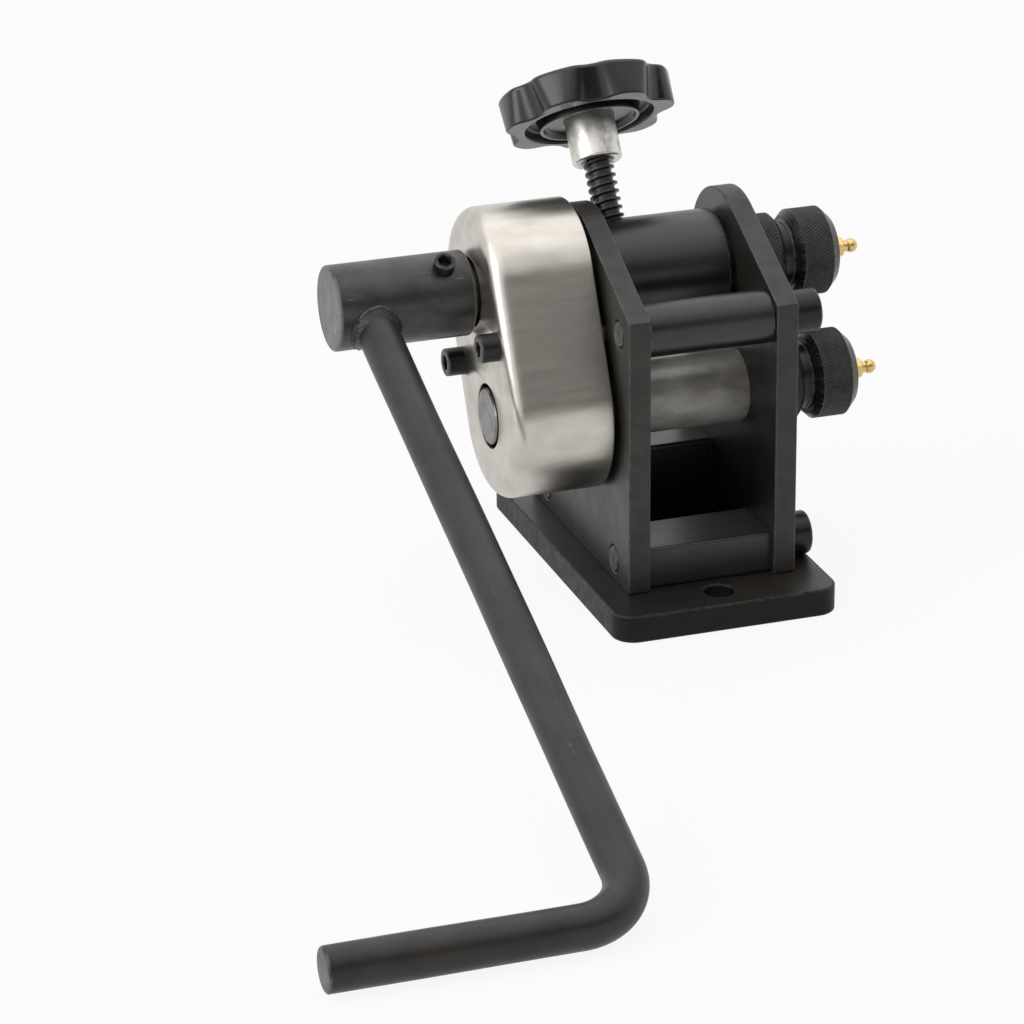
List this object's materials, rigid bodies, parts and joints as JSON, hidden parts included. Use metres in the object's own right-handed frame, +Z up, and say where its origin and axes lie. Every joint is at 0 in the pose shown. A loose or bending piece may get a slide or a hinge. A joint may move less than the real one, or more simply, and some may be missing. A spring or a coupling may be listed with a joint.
{
  "type": "manual roll bender",
  "caption": "Bench roll bender: a plate frame carries two geared shafts with knurled rollers outside, a cranked handle, and a lobed knob whose screw sets the upper roller.",
  "frame": {"origin": "middle of the base plate's underside, midway between the two bench bolt holes", "axes": "+X along the shafts towards the rollers, +Y away from the operator, +Z up"},
  "size_m": [0.2847, 0.3501, 0.1807],
  "materials": {
    "blackened_steel": "black oxide on rolled plate, satin",
    "cut_steel": "black oxide on cut plate, satin, warm edges",
    "turned_black_steel": "black oxide on turned steel, satin",
    "black_bar": "dull black bar with scratches",
    "black_screws": "black oxide screws",
    "knurled_steel": "knurled, black oxide",
    "satin_steel": "satin with fine scratches",
    "bright_steel": "machined",
    "pale_aluminium": "machined, stained",
    "black_phenolic": "glossy moulded",
    "brass": "machined"
  },
  "bodies": {
    "frame": {"base_plate": "blackened_steel", "left_side_plate": "cut_steel", "right_side_plate": "cut_steel", "plate_screws": "black_screws", "front_spacer_block": "blackened_steel", "rear_spacer_block": "blackened_steel", "spacer_bolts": "black_screws", "tie_tube": "turned_black_steel", "tie_bolt": "black_screws", "lower_bearing_tube": "turned_black_steel", "upper_housing_tube": "turned_black_steel", "gear_cover": "satin_steel", "cover_spacers": "bright_steel", "cover_screws": "black_screws"},
    "upper_carriage": {"upper_bearing_sleeve": "turned_black_steel"},
    "adjuster": {"adjusting_screw": "black_screws", "screw_collar": "pale_aluminium", "adjusting_knob": "black_phenolic"},
    "drive_shaft": {"upper_shaft": "bright_steel", "upper_roller": "knurled_steel", "upper_roller_screw": "black_screws", "drive_gear": "bright_steel", "drive_gear_key": "bright_steel", "upper_thrust_washer": "brass", "upper_retaining_ring": "black_screws", "crank_hub": "turned_black_steel", "hub_set_screw": "black_screws", "crank_handle": "black_bar", "upper_grease_nipple": "brass"},
    "driven_shaft": {"lower_shaft": "bright_steel", "lower_roller": "knurled_steel", "lower_roller_screw": "black_screws", "driven_gear": "bright_steel", "driven_gear_key": "bright_steel", "lower_thrust_washer": "brass", "lower_retaining_ring": "black_screws", "lower_grease_nipple": "brass"}
  },
  "joints": [
    {"name": "roller_opening", "type": "slide", "parent": "frame", "child": "upper_carriage", "axis": [0, 0.5736, 0.8192], "range_m": [-0.0015, 0.0015]},
    {"name": "knob_turn", "type": "hinge", "parent": "upper_carriage", "child": "adjuster", "pos_m": [-0.01345, 0.00551, 0.10818], "axis": [0, 0.5736, 0.8192], "range_deg": [-180, 180]},
    {"name": "crank_turn", "type": "hinge", "parent": "upper_carriage", "child": "drive_shaft", "pos_m": [0, 0.00551, 0.10818], "axis": [1, 0, 0], "continuous": true},
    {"name": "driven_shaft_turn", "type": "hinge", "parent": "frame", "child": "driven_shaft", "pos_m": [0, -0.0135, 0.0685], "axis": [1, 0, 0], "continuous": true}
  ],
  "couplings": [
    {"joint": "knob_turn", "follows": "roller_opening", "rad_per_m": 2094.4},
    {"joint": "driven_shaft_turn", "follows": "crank_turn", "ratio": -1}
  ]
}
